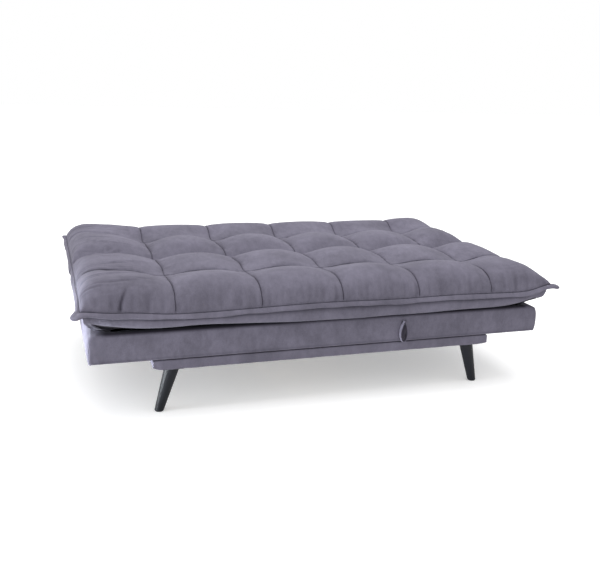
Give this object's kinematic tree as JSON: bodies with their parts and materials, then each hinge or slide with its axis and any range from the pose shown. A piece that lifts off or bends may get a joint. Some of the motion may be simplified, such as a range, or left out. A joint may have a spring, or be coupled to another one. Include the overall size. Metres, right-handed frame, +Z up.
{
  "type": "futon sofa bed",
  "caption": "Click-clack futon sofa bed with a tufted pillow topper over seat and back boxes, splayed tapered legs and a pull loop, drawn flat as a bed.",
  "frame": {"origin": "on the floor under the middle of the flat bed, below the crease between seat and back", "axes": "+X along the length of the bed, -Y towards the front edge with the pull loop, +Z up"},
  "size_m": [1.932, 1.24, 0.51],
  "materials": {
    "upholstery": "brushed microfibre",
    "strap": "woven strap",
    "leg_wood": "satin slate stain",
    "glide_plastic": "matte",
    "bumper_rubber": "matte",
    "foam": "open-cell foam",
    "dust_cloth": "thin nonwoven",
    "plywood": "raw",
    "hinge_steel": "zinc plated",
    "black_steel": "black lacquer",
    "pine": "raw"
  },
  "bodies": {
    "base": {"base_front_rail": "upholstery", "base_rear_rail": "upholstery", "base_left_rail": "upholstery", "base_right_rail": "upholstery", "base_center_rail": "pine", "base_corner_blocks": "pine", "leg_front_left": "leg_wood", "leg_front_right": "leg_wood", "leg_rear_left": "leg_wood", "leg_rear_right": "leg_wood", "glide_front_left": "glide_plastic", "glide_front_right": "glide_plastic", "glide_rear_left": "glide_plastic", "glide_rear_right": "glide_plastic", "leg_plates": "black_steel", "leg_hanger_bolts": "hinge_steel", "plate_screws": "black_steel", "hinge_bracket_left": "hinge_steel", "hinge_bracket_right": "hinge_steel", "bracket_screws": "hinge_steel", "pivot_bolt_left": "hinge_steel", "pivot_bolt_right": "hinge_steel", "pivot_lock_nuts": "hinge_steel", "rest_bumpers": "bumper_rubber"},
    "seat": {"seat_front_rail": "pine", "seat_crease_rail": "pine", "seat_end_rails": "pine", "seat_hinge_boards": "plywood", "seat_slats": "pine", "seat_foam": "foam", "seat_batting": "foam", "seat_cover": "upholstery", "seat_dust_cloth": "dust_cloth", "hinge_seat_arm_left": "hinge_steel", "hinge_seat_arm_right": "hinge_steel", "seat_arm_bolts": "hinge_steel", "pull_loop_tab": "strap", "topper_seat": "upholstery"},
    "back": {"back_rear_rail": "pine", "back_crease_rail": "pine", "back_end_rails": "pine", "back_hinge_boards": "plywood", "back_slats": "pine", "back_foam": "foam", "back_batting": "foam", "back_cover": "upholstery", "back_dust_cloth": "dust_cloth", "hinge_back_arm_left": "hinge_steel", "hinge_back_arm_right": "hinge_steel", "back_arm_bolts": "hinge_steel", "topper_back": "upholstery"},
    "loop": {"pull_loop": "strap"}
  },
  "joints": [
    {"name": "seat_lift", "type": "hinge", "parent": "base", "child": "seat", "pos_m": [0, 0, 0.44], "axis": [-1, 0, 0], "range_deg": [0, 18]},
    {"name": "back_fold", "type": "hinge", "parent": "base", "child": "back", "pos_m": [0, 0, 0.44], "axis": [1, 0, 0], "range_deg": [0, 72]},
    {"name": "pull_loop_swing", "type": "hinge", "parent": "seat", "child": "loop", "pos_m": [0.297, -0.561, 0.303], "axis": [-1, 0, 0], "range_deg": [0, 60]}
  ]
}
